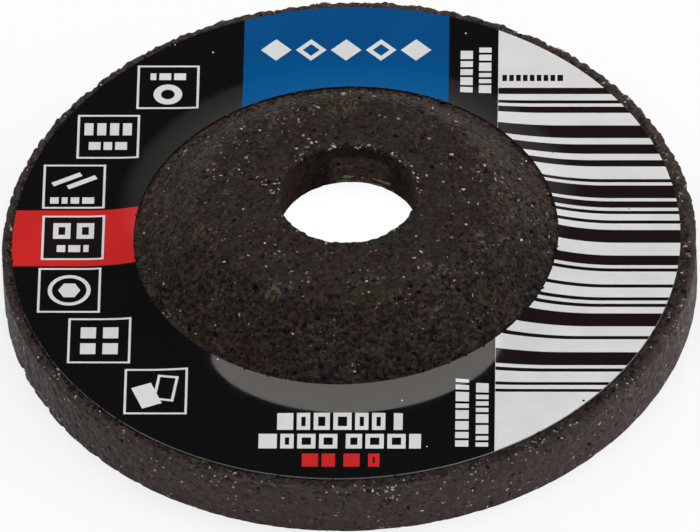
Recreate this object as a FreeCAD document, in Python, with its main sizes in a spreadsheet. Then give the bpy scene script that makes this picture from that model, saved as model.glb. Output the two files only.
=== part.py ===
import FreeCAD, Part
import math
import os

import Sketcher
from FreeCAD import Vector

# A small grinding disc with a raised hub and a plain bore.
# Origin: on the bore's axis, at the height of the flat face that the disc lies on.
# +Z runs along the axis towards the raised hub. +X runs along the rows of the printed label.

document = FreeCAD.newDocument("grinding_disc")

# Driving dimensions, in millimetres and degrees.
sizes = {
    "discRadius": 25.0,
    "boreRadius": 5.0,
    "wallThickness": 4.0,
    "hubRise": 5.0,
    "sweepStart": 19.3,
    "sweepRadius": 16.0,
    "coneFoot": 15.0,
    "coneAngle": 45.0,
    "shoulderRound": 3.0,
    "recessMouthBevel": 1.2,
    "recessCornerBevel": 0.6,
    "rimTopBreak": 0.4,
    "rimBottomBreak": 0.4,
    "boreEdgeBreak": 0.2,
    "clothThickness": 0.2,
    "rimLand": 0.9,
    "threadWidth": 1.1,
    "threadPitch": 4.5,
    "threadShiftX": -0.1,
    "threadShiftY": -1.9,
    "labelThickness": 0.12,
    "labelRimMargin": 0.95,
    "labelFootMargin": 0.3,
    "labelShiftX": -0.23,
    "labelShiftY": 0.3,
    "labelTrim": 0.2,
}

sheet = document.addObject("Spreadsheet::Sheet", "sizes")
for row, (name, size) in enumerate(sizes.items(), start=1):
    sheet.set("A%d" % row, name)
    sheet.set("B%d" % row, str(size))
    sheet.setAlias("B%d" % row, name)
document.recompute()

# The hub's cone starts at this height, where the sweep ends.
coneFootHeight = (
    "(sizes.wallThickness + sizes.sweepRadius"
    " - sqrt(sizes.sweepRadius ^ 2 - (sizes.sweepStart - sizes.coneFoot) ^ 2))"
)
hubHeight = "(sizes.wallThickness + sizes.hubRise)"
coneTop = (
    "(sizes.coneFoot - (" + hubHeight + " - " + coneFootHeight + ") / tan(sizes.coneAngle))"
)
# The recess's cone lies one wall thickness under the hub's cone.
# These are the radii where it would meet the lying face and the recess's ceiling.
recessMouth = (
    "(sizes.coneFoot + " + coneFootHeight + " / tan(sizes.coneAngle)"
    " - sizes.wallThickness / sin(sizes.coneAngle))"
)
recessCeiling = "(" + recessMouth + " - sizes.hubRise / tan(sizes.coneAngle))"
clothRadius = "(sizes.discRadius - sizes.rimLand)"
labelOuterRadius = "(sizes.discRadius - sizes.labelRimMargin)"
labelInnerRadius = "(sizes.coneFoot + sizes.labelFootMargin)"
labelReach = "sqrt(sizes.labelShiftX ^ 2 + sizes.labelShiftY ^ 2)"

# The points of a sketch's line or arc, and the sketch's own horizontal axis.
startPoint, endPoint, centrePoint = range(1, 4)
horizontalAxis = -1


def valueOf(expression):
    # What an expression on the sheet's cells comes to, in millimetres or degrees.
    return float(sheet.evalExpression(expression))


def newBody(name):
    body = document.addObject("PartDesign::Body", name)
    body.Label = name
    return body


def originFeature(body, role):
    return [feature for feature in body.Origin.OriginFeatures if feature.Role == role][0]


def newSketch(body, name, role):
    sketch = body.newObject("Sketcher::SketchObject", name)
    sketch.AttachmentSupport = [(originFeature(body, role), "")]
    sketch.MapMode = "FlatFace"
    return sketch


def addLine(sketch, fromPoint, toPoint):
    line = Part.LineSegment(Vector(*fromPoint, 0), Vector(*toPoint, 0))
    return sketch.addGeometry(line, False)


def addCircle(sketch, centre, radius):
    circle = Part.Circle(Vector(*centre, 0), Vector(0, 0, 1), radius)
    return sketch.addGeometry(circle, False)


def addArc(sketch, centre, radius, fromAngle, toAngle):
    circle = Part.Circle(Vector(*centre, 0), Vector(0, 0, 1), radius)
    arc = Part.ArcOfCircle(circle, math.radians(fromAngle), math.radians(toAngle))
    return sketch.addGeometry(arc, False)


def tie(sketch, kind, *where):
    sketch.addConstraint(Sketcher.Constraint(kind, *where))


def setSize(sketch, name, kind, where, expression):
    # A named dimension of the sketch that follows the sheet.
    value = valueOf(expression)
    if kind == "Angle":
        value = math.radians(value)
    index = sketch.addConstraint(Sketcher.Constraint(kind, *where, value))
    sketch.renameConstraint(index, name)
    sketch.setExpression("Constraints." + name, expression)


def joinEnds(sketch, first, firstEnd, second, secondEnd):
    # A straight line from one end of the outline to another.
    begin = sketch.getPoint(first, firstEnd)
    finish = sketch.getPoint(second, secondEnd)
    line = addLine(sketch, (begin.x, begin.y), (finish.x, finish.y))
    tie(sketch, "Coincident", line, startPoint, first, firstEnd)
    tie(sketch, "Coincident", line, endPoint, second, secondEnd)
    return line


def drawTop(sketch, name, lift, outerEnd, innerEnd=None):
    # The top face from its outer end inwards: flat, sweep and cone, raised by lift.
    # The cone stops at the radius innerEnd, or at the hub's height without one.
    wall = valueOf("sizes.wallThickness + " + lift)
    footHeight = valueOf(coneFootHeight + " + " + lift)
    sweepStart = valueOf("sizes.sweepStart")
    sweepRadius = valueOf("sizes.sweepRadius")
    coneFoot = valueOf("sizes.coneFoot")
    slope = math.tan(math.radians(valueOf("sizes.coneAngle")))
    sweepEnd = -90 - math.degrees(math.asin((sweepStart - coneFoot) / sweepRadius))
    if innerEnd is None:
        coneEnd = (valueOf(coneTop), valueOf(hubHeight))
    else:
        coneEnd = (valueOf(innerEnd), footHeight + (coneFoot - valueOf(innerEnd)) * slope)

    flat = addLine(sketch, (valueOf(outerEnd), wall), (sweepStart, wall))
    sweep = addArc(sketch, (sweepStart, wall + sweepRadius), sweepRadius, sweepEnd, -90)
    cone = addLine(sketch, coneEnd, (coneFoot, footHeight))
    tie(sketch, "Horizontal", flat)
    tie(sketch, "Tangent", flat, endPoint, sweep, endPoint)
    tie(sketch, "Coincident", sweep, startPoint, cone, endPoint)
    setSize(sketch, name + "OuterEnd", "DistanceX", (flat, startPoint), outerEnd)
    setSize(sketch, name + "Height", "DistanceY", (flat, startPoint), "sizes.wallThickness + " + lift)
    setSize(sketch, name + "SweepStart", "DistanceX", (sweep, centrePoint), "sizes.sweepStart")
    setSize(sketch, name + "SweepRadius", "Radius", (sweep,), "sizes.sweepRadius")
    setSize(sketch, name + "ConeFoot", "DistanceX", (cone, endPoint), "sizes.coneFoot")
    setSize(sketch, name + "ConeAngle", "Angle", (cone,), "-sizes.coneAngle")
    if innerEnd is None:
        setSize(sketch, name + "ConeTop", "DistanceY", (cone, startPoint), hubHeight)
    else:
        setSize(sketch, name + "InnerEnd", "DistanceX", (cone, startPoint), innerEnd)
    return flat, cone


def drawUnderside(sketch, name, lift):
    # The underside from the cloth's edge to the bore, raised by lift: the lying face,
    # the bevelled mouth of the recess, its cone, its bevelled corner and its ceiling.
    mouth = " * sizes.recessMouthBevel"
    corner = " * sizes.recessCornerBevel"
    corners = {
        "edge": (clothRadius, lift),
        "mouthOuter": (recessMouth + " + sizes.recessMouthBevel", lift),
        "mouthInner": (
            recessMouth + " - cos(sizes.coneAngle)" + mouth,
            lift + " + sin(sizes.coneAngle)" + mouth,
        ),
        "cornerOuter": (
            recessCeiling + " + cos(sizes.coneAngle)" + corner,
            lift + " + sizes.hubRise - sin(sizes.coneAngle)" + corner,
        ),
        "cornerInner": (
            recessCeiling + " - sizes.recessCornerBevel",
            lift + " + sizes.hubRise",
        ),
        "bore": ("sizes.boreRadius", lift + " + sizes.hubRise"),
    }
    lines = []
    names = list(corners)
    for first, second in zip(names, names[1:]):
        fromPoint = [valueOf(place) for place in corners[first]]
        toPoint = [valueOf(place) for place in corners[second]]
        lines.append(addLine(sketch, fromPoint, toPoint))
    for before, after in zip(lines, lines[1:]):
        tie(sketch, "Coincident", before, endPoint, after, startPoint)
    ends = [(line, startPoint) for line in lines] + [(lines[-1], endPoint)]
    for cornerName, end in zip(names, ends):
        across, up = corners[cornerName]
        setSize(sketch, name + cornerName + "X", "DistanceX", end, across)
        if valueOf(up) == 0:
            tie(sketch, "PointOnObject", *end, horizontalAxis)
        else:
            setSize(sketch, name + cornerName + "Y", "DistanceY", end, up)
    return lines[0], lines[-1]


def drawRectangle(sketch, name, left, low, width, depth):
    corners = [
        (valueOf(left), valueOf(low)),
        (valueOf(left + " + " + width), valueOf(low)),
        (valueOf(left + " + " + width), valueOf(low + " + " + depth)),
        (valueOf(left), valueOf(low + " + " + depth)),
    ]
    lines = [addLine(sketch, corners[side - 1], corners[side]) for side in range(4)]
    for side in range(4):
        tie(sketch, "Coincident", lines[side - 1], endPoint, lines[side], startPoint)
    leftSide, lowSide, rightSide, highSide = lines
    tie(sketch, "Vertical", leftSide)
    tie(sketch, "Vertical", rightSide)
    tie(sketch, "Horizontal", lowSide)
    tie(sketch, "Horizontal", highSide)
    setSize(sketch, name + "Left", "DistanceX", (lowSide, startPoint), left)
    setSize(sketch, name + "Low", "DistanceY", (lowSide, startPoint), low)
    setSize(sketch, name + "Width", "DistanceX", (lowSide, startPoint, lowSide, endPoint), width)
    setSize(sketch, name + "Depth", "DistanceY", (rightSide, startPoint, rightSide, endPoint), depth)


def revolve(body, name, sketch):
    turned = body.newObject("PartDesign::Revolution", name)
    turned.Profile = sketch
    turned.ReferenceAxis = (sketch, ["V_Axis"])
    turned.Angle = 360
    document.recompute()
    return turned


def edgeAt(shape, radius, height):
    # The name of the circular edge round the axis at this radius and height.
    near = 0.001
    for number, edge in enumerate(shape.Edges, start=1):
        if not isinstance(edge.Curve, Part.Circle):
            continue
        centre = edge.Curve.Center
        if math.hypot(centre.x, centre.y) > near:
            continue
        if abs(edge.Curve.Radius - radius) < near and abs(centre.z - height) < near:
            return "Edge%d" % number
    raise ValueError("no edge at radius %g and height %g" % (radius, height))


def easeEdge(body, kind, name, radius, height, size):
    # A fillet or a chamfer on one circular edge of the body.
    base = body.Tip
    eased = body.newObject("PartDesign::" + kind, name)
    eased.Base = (base, [edgeAt(base.Shape, valueOf(radius), valueOf(height))])
    sizeName = "Radius" if kind == "Fillet" else "Size"
    setattr(eased, sizeName, valueOf(size))
    eased.setExpression(sizeName, size)
    document.recompute()


def makeAbrasiveDisc():
    # The pressed disc: one wall thickness from the rim to the bore, stepped up at the hub,
    # with a shallow seat under it for the cloth and a narrow land at the rim.
    body = newBody("abrasive_disc")
    section = newSketch(body, "discSection", "XZ_Plane")
    topFlat, hubCone = drawTop(section, "top", "0", "sizes.discRadius")
    seatFlat, seatCeiling = drawUnderside(section, "seat", "sizes.clothThickness")

    hubFlat = addLine(
        section,
        (valueOf(coneTop), valueOf(hubHeight)),
        (valueOf("sizes.boreRadius"), valueOf(hubHeight)),
    )
    tie(section, "Coincident", hubFlat, startPoint, hubCone, startPoint)
    tie(section, "Horizontal", hubFlat)
    boreWall = joinEnds(section, hubFlat, endPoint, seatCeiling, endPoint)
    tie(section, "Vertical", boreWall)

    rimWall = addLine(
        section,
        (valueOf("sizes.discRadius"), valueOf("sizes.wallThickness")),
        (valueOf("sizes.discRadius"), 0),
    )
    tie(section, "Coincident", rimWall, startPoint, topFlat, startPoint)
    tie(section, "Vertical", rimWall)
    tie(section, "PointOnObject", rimWall, endPoint, horizontalAxis)
    seatStep = addLine(
        section,
        (valueOf(clothRadius), valueOf("sizes.clothThickness")),
        (valueOf(clothRadius), 0),
    )
    tie(section, "Coincident", seatStep, startPoint, seatFlat, startPoint)
    tie(section, "Vertical", seatStep)
    tie(section, "PointOnObject", seatStep, endPoint, horizontalAxis)
    joinEnds(section, rimWall, endPoint, seatStep, endPoint)
    revolve(body, "discWall", section)

    rim = "sizes.discRadius"
    easeEdge(body, "Fillet", "hubShoulder", coneTop, hubHeight, "sizes.shoulderRound")
    easeEdge(body, "Chamfer", "rimTop", rim, "sizes.wallThickness", "sizes.rimTopBreak")
    easeEdge(body, "Chamfer", "rimBottom", rim, "0", "sizes.rimBottomBreak")
    easeEdge(body, "Chamfer", "boreEdge", "sizes.boreRadius", hubHeight, "sizes.boreEdgeBreak")
    return body


def makeLabel():
    # The printed ring: a thin skin on the flat and the sweep, cut a little off centre.
    body = newBody("label")
    section = newSketch(body, "labelSection", "XZ_Plane")
    outerEnd = (
        "(max(sizes.sweepStart; " + labelOuterRadius + " + " + labelReach + ")"
        " + sizes.labelTrim)"
    )
    innerEnd = (
        "(min(sizes.coneFoot; " + labelInnerRadius + " - " + labelReach + ")"
        " - sizes.labelTrim)"
    )
    lowFlat, lowCone = drawTop(section, "back", "0", outerEnd, innerEnd)
    highFlat, highCone = drawTop(section, "face", "sizes.labelThickness", outerEnd, innerEnd)
    joinEnds(section, lowFlat, startPoint, highFlat, startPoint)
    joinEnds(section, lowCone, startPoint, highCone, startPoint)
    revolve(body, "labelSkin", section)

    outline = newSketch(body, "labelOutline", "XY_Plane")
    centre = (valueOf("sizes.labelShiftX"), valueOf("sizes.labelShiftY"))
    rings = {
        "inner": labelInnerRadius,
        "outer": labelOuterRadius,
        "waste": "(2 * sizes.discRadius)",
    }
    for name, radius in rings.items():
        ring = addCircle(outline, centre, valueOf(radius))
        setSize(outline, name + "Radius", "Radius", (ring,), radius)
        setSize(outline, name + "X", "DistanceX", (ring, centrePoint), "sizes.labelShiftX")
        setSize(outline, name + "Y", "DistanceY", (ring, centrePoint), "sizes.labelShiftY")
    document.recompute()
    cut = body.newObject("PartDesign::Pocket", "labelCut")
    cut.Profile = outline
    cut.Type = "ThroughAll"
    cut.Midplane = True
    document.recompute()
    return body


def makeClothSkin():
    # The cloth before its gaps: a skin that fills the seat under the disc.
    body = newBody("cloth_skin")
    section = newSketch(body, "clothSection", "XZ_Plane")
    lowFlat, lowCeiling = drawUnderside(section, "under", "0")
    highFlat, highCeiling = drawUnderside(section, "over", "sizes.clothThickness")
    joinEnds(section, lowFlat, startPoint, highFlat, startPoint)
    joinEnds(section, lowCeiling, endPoint, highCeiling, endPoint)
    revolve(body, "clothTurn", section)
    return body


def addThreads(body, name, alongX):
    # One set of parallel threads as tall strips, repeated across the disc.
    count = "(2 * floor(" + clothRadius + " / sizes.threadPitch + 1))"
    span = "((" + count + " - 1) * sizes.threadPitch)"
    length = "(3 * sizes.discRadius)"
    besideStart = " - " + span + " / 2 - sizes.threadWidth / 2"
    sketch = newSketch(body, name + "Outline", "XY_Plane")
    if alongX:
        low = "sizes.threadShiftY" + besideStart
        drawRectangle(sketch, name, "-" + length + " / 2", low, length, "sizes.threadWidth")
    else:
        left = "sizes.threadShiftX" + besideStart
        drawRectangle(sketch, name, left, "-" + length + " / 2", "sizes.threadWidth", length)
    document.recompute()
    strip = body.newObject("PartDesign::Pad", name + "Strip")
    strip.Profile = sketch
    strip.Midplane = True
    strip.setExpression("Length", "3 * " + hubHeight)
    document.recompute()
    repeat = body.newObject("PartDesign::LinearPattern", name + "Repeat")
    repeat.Originals = [strip]
    repeat.Direction = (originFeature(body, "Y_Axis" if alongX else "X_Axis"), [""])
    repeat.setExpression("Length", span)
    repeat.setExpression("Occurrences", count)
    body.Tip = repeat
    document.recompute()


def makeGlassCloth():
    # The open cloth: the skin kept only where a thread of either set runs.
    threads = newBody("cloth_threads")
    addThreads(threads, "weft", True)
    addThreads(threads, "warp", False)
    cloth = document.addObject("Part::Common", "glass_cloth")
    cloth.Label = "glass_cloth"
    cloth.Base = makeClothSkin()
    cloth.Tool = threads
    document.recompute()
    return cloth


parts = [makeAbrasiveDisc(), makeLabel(), makeGlassCloth()]
document.recompute()

for item in document.Objects:
    for state in ("Invalid", "Error"):
        if state in item.State:
            raise RuntimeError(item.Name + " is " + state)

os.makedirs("parts", exist_ok=True)
for part in parts:
    if part.Shape.isNull() or not part.Shape.isValid():
        raise RuntimeError(part.Label + " has no valid shape")
    print(part.Label, len(part.Shape.Solids), "solid,", round(part.Shape.Volume, 1), "mm3")
for part in parts:
    part.Shape.exportStep("parts/" + part.Label + ".step")
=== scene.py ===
import math
import random

import bmesh
import bpy
from mathutils import Matrix, Vector, noise


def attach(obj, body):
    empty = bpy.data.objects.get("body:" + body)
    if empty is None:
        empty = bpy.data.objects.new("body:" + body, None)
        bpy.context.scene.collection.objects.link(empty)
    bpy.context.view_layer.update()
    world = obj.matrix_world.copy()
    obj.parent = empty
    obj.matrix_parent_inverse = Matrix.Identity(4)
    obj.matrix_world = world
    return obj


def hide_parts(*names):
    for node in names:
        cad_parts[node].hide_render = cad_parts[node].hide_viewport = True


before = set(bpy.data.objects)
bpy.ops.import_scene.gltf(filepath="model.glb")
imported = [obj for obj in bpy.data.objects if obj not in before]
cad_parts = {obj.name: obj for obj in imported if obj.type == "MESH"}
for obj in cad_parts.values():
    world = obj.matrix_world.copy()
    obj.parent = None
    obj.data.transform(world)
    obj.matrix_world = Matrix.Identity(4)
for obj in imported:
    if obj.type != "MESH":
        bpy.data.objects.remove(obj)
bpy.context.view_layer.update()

mm = 0.001
scene = bpy.context.scene

# The disc's section, as it is in the frame, in millimetres.
disc = {
    "rim": 25.0,
    "bore": 5.0,
    "wall": 4.0,
    "hubTop": 9.0,
    "sweepStart": 19.3,
    "sweepRadius": 16.0,
    "coneFoot": 15.0,
    "shoulderRound": 3.0,
    "recessMouth": 13.93,
    "recessCeiling": 8.93,
    "ceilingHeight": 5.0,
    "recessEase": 0.9,
    "clothRadius": 24.1,
    "clothSeat": 0.2,
}


def topHeight(radius):
    # height of the disc's top face: flat rim, sweep, cone with a rounded shoulder, hub flat
    wall, start, foot = disc["wall"], disc["sweepStart"], disc["coneFoot"]
    sweep, top, shoulder = disc["sweepRadius"], disc["hubTop"], disc["shoulderRound"]
    cone = math.radians(45)
    if radius >= start:
        return wall
    reach = min(start - radius, start - foot)
    height = wall + sweep - math.sqrt(sweep ** 2 - reach ** 2)
    if radius >= foot:
        return height
    height += foot - radius
    tangent = shoulder * math.tan(cone / 2)
    corner = foot - (top - height + foot - radius)
    flatEnd = corner - tangent
    if radius <= flatEnd:
        return top
    coneEnd = corner + tangent * math.cos(cone)
    if radius >= coneEnd:
        return height
    across = radius - flatEnd
    return top - shoulder + math.sqrt(shoulder ** 2 - across ** 2)


def undersideHeight(radius):
    # height of the underside: flat, the recess's cone with eased corners, its ceiling
    ease = disc["recessEase"]
    straight = min(max(disc["recessMouth"] - radius, 0.0), disc["ceilingHeight"])
    for edge, sign in ((disc["recessMouth"], 1), (disc["recessCeiling"], -1)):
        near = ease - abs(radius - edge)
        if near > 0:
            straight += sign * near ** 2 / (4 * ease)
    return min(max(straight, 0.0), disc["ceilingHeight"])


# Camera

cameraSetup = {
    "target": (0.119, -2.336, 4.0),  # millimetres
    "azimuth": 3.09,
    "elevation": 44.834,
    "roll": -2.143,
    "distance": 1073.6,
    "sensor": 36.0,
    "lens": 768.9,
}


def makeCamera():
    azimuth = math.radians(cameraSetup["azimuth"])
    elevation = math.radians(cameraSetup["elevation"])
    roll = math.radians(cameraSetup["roll"])
    back = Vector((math.sin(azimuth) * math.cos(elevation), -math.cos(azimuth) * math.cos(elevation),
                   math.sin(elevation)))
    right = Vector((math.cos(azimuth), math.sin(azimuth), 0))
    up = back.cross(right)
    turnedRight = math.cos(roll) * right + math.sin(roll) * up
    turnedUp = back.cross(turnedRight)
    data = bpy.data.cameras.new("camera")
    data.sensor_width = cameraSetup["sensor"]
    data.lens = cameraSetup["lens"]
    data.clip_start, data.clip_end = 0.1, 20
    camera = bpy.data.objects.new("camera", data)
    place = Vector(cameraSetup["target"]) * mm + back * cameraSetup["distance"] * mm
    turn = Matrix((turnedRight, turnedUp, back)).transposed().to_4x4()
    camera.matrix_world = Matrix.Translation(place) @ turn
    scene.collection.objects.link(camera)
    scene.camera = camera


makeCamera()
print("camera in place")


# Helpers for materials and meshes

class NodeTree:
    # short names for the few node kinds that the materials use
    def __init__(self, name):
        self.material = bpy.data.materials.new(name)
        self.material.use_nodes = True
        self.tree = self.material.node_tree
        self.shader = self.tree.nodes["Principled BSDF"]

    def node(self, kind, **settings):
        made = self.tree.nodes.new(kind)
        for name, value in settings.items():
            setattr(made, name, value)
        return made

    def link(self, out, into):
        self.tree.links.new(out, into)

    def put(self, socket, value):
        if hasattr(value, "is_output"):
            self.link(value, socket)
        else:
            socket.default_value = value

    def place(self, scale=(1000, 1000, 1000)):
        # the object's own coordinates, in millimetres
        coords = self.node("ShaderNodeTexCoord")
        mapping = self.node("ShaderNodeMapping")
        mapping.inputs["Scale"].default_value = scale
        self.link(coords.outputs["Object"], mapping.inputs["Vector"])
        return mapping.outputs["Vector"]

    def axes(self, vector):
        # the three coordinates one by one
        made = self.node("ShaderNodeSeparateXYZ")
        self.link(vector, made.inputs[0])
        return made.outputs["X"], made.outputs["Y"], made.outputs["Z"]

    def fromAxis(self, x, y):
        # distance from the bore's axis
        squares = self.maths("ADD", self.maths("POWER", x, 2.0), self.maths("POWER", y, 2.0))
        return self.maths("SQRT", squares)

    def texture(self, kind, vector, **values):
        made = self.node(kind)
        self.link(vector, made.inputs["Vector"])
        for name, value in values.items():
            made.inputs[name].default_value = value
        return made

    def wandering(self, vector, scale, amount):
        # the same coordinates pushed about a little, so that cells get ragged outlines
        made = self.texture("ShaderNodeTexNoise", vector, Scale=scale, Detail=2.0)
        push = self.node("ShaderNodeVectorMath", operation="SCALE")
        self.link(made.outputs["Color"], push.inputs[0])
        push.inputs["Scale"].default_value = amount
        total = self.node("ShaderNodeVectorMath", operation="ADD")
        self.link(vector, total.inputs[0])
        self.link(push.outputs["Vector"], total.inputs[1])
        return total.outputs["Vector"]

    def noise(self, vector, scale, detail=3.0, rough=0.55):
        made = self.texture("ShaderNodeTexNoise", vector, Scale=scale, Detail=detail, Roughness=rough)
        return made.outputs["Fac"]

    def cells(self, vector, scale):
        return self.texture("ShaderNodeTexVoronoi", vector, Scale=scale)

    def band(self, value, low, high, start=0.0, end=1.0):
        made = self.node("ShaderNodeMapRange", interpolation_type="SMOOTHSTEP")
        self.put(made.inputs["Value"], value)
        made.inputs["From Min"].default_value = low
        made.inputs["From Max"].default_value = high
        made.inputs["To Min"].default_value = start
        made.inputs["To Max"].default_value = end
        return made.outputs["Result"]

    def maths(self, operation, first, second=0.0):
        made = self.node("ShaderNodeMath", operation=operation)
        self.put(made.inputs[0], first)
        self.put(made.inputs[1], second)
        return made.outputs[0]

    def times(self, first, second):
        return self.maths("MULTIPLY", first, second)

    def mix(self, factor, first, second, blend="MIX"):
        made = self.node("ShaderNodeMix", data_type="RGBA", blend_type=blend)
        self.put(made.inputs["Factor"], factor)
        self.put(made.inputs["A"], first)
        self.put(made.inputs["B"], second)
        return made.outputs["Result"]

    def bump(self, height, strength, distance):
        made = self.node("ShaderNodeBump")
        self.link(height, made.inputs["Height"])
        made.inputs["Strength"].default_value = strength
        made.inputs["Distance"].default_value = distance
        return made.outputs["Normal"]


def finishPiece(bm, name, materials, node=None, smooth=False):
    # the finished piece, brought from millimetres to metres: at the origin, riding on the disc
    bmesh.ops.scale(bm, vec=(mm, mm, mm), verts=bm.verts)
    if smooth:
        for face in bm.faces:
            face.smooth = True
    mesh = bpy.data.meshes.new(name)
    bm.to_mesh(mesh)
    bm.free()
    piece = bpy.data.objects.new(name, mesh)
    scene.collection.objects.link(piece)
    for material in materials:
        mesh.materials.append(material)
    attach(piece, "root")
    if node:
        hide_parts(node)
    return piece


# Bonded abrasive

abrasiveLook = {
    "grey": (0.0180, 0.0145, 0.0122, 1),
    "red": (0.0220, 0.0132, 0.0118, 1),
    "olive": (0.0210, 0.0172, 0.0110, 1),
    "coneDustAndLight": (0.0335, 0.0242, 0.0188, 1),
    "sand": (0.150, 0.108, 0.062, 1),
    # near-black painted into the hollows: painted shade
    "pit": (0.0016, 0.0012, 0.0010, 1),
    "rim": (0.0520, 0.0352, 0.0328, 1),
    "rimTop": (0.0430, 0.0305, 0.0250, 1),
    "speck": (0.36, 0.30, 0.25, 1),
    "boreWallPaintedLight": (1.45, 1.25, 1.05, 1),  # these two multiply the colour on the bore's wall: painted light, paler all over and grey in one patch
    "borePaintedLightPatch": (5.0, 5.2, 5.2, 1),
    "rimZone": (24.3, 24.8),  # radii in millimetres over which the wall's look comes in
    "grainScale": 2.3,  # cells or noise for each millimetre, down to the last
    "fineScale": 3.4,
    "hollowScale": 2.9,
    "tornScale": 1.3,
    "sparkScale": 3.6,
    "crumbScale": 5.0,
}


def makeAbrasiveMaterial(name, gloss):
    look = abrasiveLook
    nodes = NodeTree(name)
    shader = nodes.shader
    place = nodes.place()
    ragged = nodes.wandering(place, 4.2, 0.2)
    x, y, z = nodes.axes(place)
    radius = nodes.fromAxis(x, y)

    # slow changes of colour: patches, dust on the cone with painted light that makes it lighter towards
    # the far side, the browner rim with painted shade on its left
    patches = nodes.band(nodes.noise(place, 0.42, 3), 0.42, 0.60)
    colour = nodes.mix(patches, look["grey"], look["red"])
    greener = nodes.band(nodes.noise(place, 0.33, 3, 0.6), 0.52, 0.66)
    colour = nodes.mix(greener, colour, look["olive"])
    # painted light: the cone's dust is strongest on the far side and fades out towards the near side
    dustAndFarLight = nodes.times(nodes.band(radius, 9.2, 11.4), nodes.band(y, -6.0, 4.0, 0, 0.85))
    colour = nodes.mix(dustAndFarLight, colour, look["coneDustAndLight"])
    uneven = nodes.maths("ADD", z, nodes.band(nodes.noise(place, 0.6, 3), 0.3, 0.7, -0.6, 0.6))
    side = nodes.mix(nodes.band(uneven, 2.5, 3.4), look["rim"], look["rimTop"])
    # painted shade: the rim's colour darkens towards its left side
    side = nodes.mix(1.0, side, nodes.band(x, -25.0, -6.0, 0.78, 1.0), "MULTIPLY")
    colour = nodes.mix(nodes.band(radius, *look["rimZone"], 0.0, 0.93), colour, side)

    # grains: coarse is 1 over most of the disc, and less on the rim's wall, the hub and the bore
    inBore = nodes.times(nodes.band(radius, 5.06, 5.3, 1.0, 0.0), nodes.band(z, 8.7, 8.95, 1.0, 0.0))
    onHub = nodes.times(nodes.band(z, 8.5, 8.9), nodes.band(radius, 5.1, 5.6))
    plain = nodes.maths("ADD", nodes.times(onHub, 0.35), nodes.times(inBore, 0.4))
    coarse = nodes.maths("SUBTRACT", nodes.band(radius, *look["rimZone"], 1.0, 0.38), plain)
    grain = nodes.cells(ragged, look["grainScale"])
    tone = nodes.band(grain.outputs["Color"], 0.0, 1.0, 0.55, 1.5)
    colour = nodes.mix(coarse, colour, tone, "MULTIPLY")
    gritty = nodes.noise(place, look["fineScale"], 1, 0.6)
    fine = nodes.band(gritty, 0.34, 0.66, 0.5, 1.5)
    colour = nodes.mix(coarse, colour, fine, "MULTIPLY")

    # painted light on the bore's wall: it is paler than the rest, and grey in one patch of its far side
    # where the light is painted in
    paintedLightPatch = nodes.times(nodes.band(x, -1.9, -0.7), nodes.band(x, 2.3, 3.4, 1.0, 0.0))
    paintedLightPatch = nodes.times(paintedLightPatch, nodes.band(z, 7.3, 8.1, 1.0, 0.0))
    borePaintedLightTint = nodes.mix(paintedLightPatch, look["boreWallPaintedLight"], look["borePaintedLightPatch"])
    colour = nodes.mix(inBore, colour, nodes.mix(1.0, colour, borePaintedLightTint, "MULTIPLY"))

    # sandy grains in patches round the upper cone
    ring = nodes.times(nodes.band(radius, 7.0, 9.4), nodes.band(radius, 11.4, 13.6, 1.0, 0.0))
    dusty = nodes.band(nodes.noise(place, 0.5, 3, 0.6), 0.52, 0.66)
    high = nodes.band(z, 5.5, 7.0)
    crumb = nodes.band(nodes.cells(ragged, look["crumbScale"]).outputs["Color"], 0.55, 0.80)
    sandy = nodes.times(nodes.times(ring, dusty), nodes.times(high, crumb))
    colour = nodes.mix(nodes.times(sandy, 0.55), colour, look["sand"])

    # hollows where grains are missing: many small ones, gathered in places, a few larger, painted
    # near-black as painted shade
    hollow = nodes.cells(ragged, look["hollowScale"])
    gathered = nodes.band(nodes.noise(place, 0.55, 2), 0.40, 0.62, -0.10, 0.15)
    gathered = nodes.maths("ADD", gathered, nodes.band(z, 1.2, 3.0, -0.05, 0.07))
    fewer = nodes.times(nodes.maths("SUBTRACT", 1.0, coarse), 0.18)
    often = nodes.maths("ADD", hollow.outputs["Color"], nodes.maths("SUBTRACT", gathered, fewer))
    deep = nodes.times(nodes.band(hollow.outputs["Distance"], 0.16, 0.32, 1.0, 0.0),
                       nodes.band(often, 0.64, 0.70))
    holes = nodes.cells(ragged, look["tornScale"])
    torn = nodes.times(nodes.band(holes.outputs["Distance"], 0.14, 0.27, 1.0, 0.0),
                       nodes.band(holes.outputs["Color"], 0.72, 0.76))
    deep = nodes.maths("MAXIMUM", deep, torn)
    colour = nodes.mix(nodes.times(deep, 0.92), colour, look["pit"])
    # the modelled hollows are painted near-black too: painted shade
    sunk = nodes.node("ShaderNodeAttribute", attribute_name="hollow")
    colour = nodes.mix(nodes.band(sunk.outputs["Fac"], 0.05, 0.6), colour, look["pit"])

    # bright specks of broken grain
    spark = nodes.cells(ragged, look["sparkScale"])
    bright = nodes.band(spark.outputs["Color"], 0.82, 0.97, 0.0, 0.5)
    small = nodes.band(spark.outputs["Distance"], 0.12, 0.30, 1.0, 0.0)
    colour = nodes.mix(nodes.times(bright, small), colour, look["speck"])
    nodes.link(colour, shader.inputs["Base Color"])

    rough = nodes.band(nodes.noise(place, 3.0, 2), 0.3, 0.7, 0.45, 0.75)
    rough = nodes.maths("MAXIMUM", rough, nodes.times(inBore, 0.9))
    nodes.link(rough, shader.inputs["Roughness"])
    shader.inputs["IOR"].default_value = 1.5
    shader.inputs["Specular IOR Level"].default_value = gloss

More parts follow.
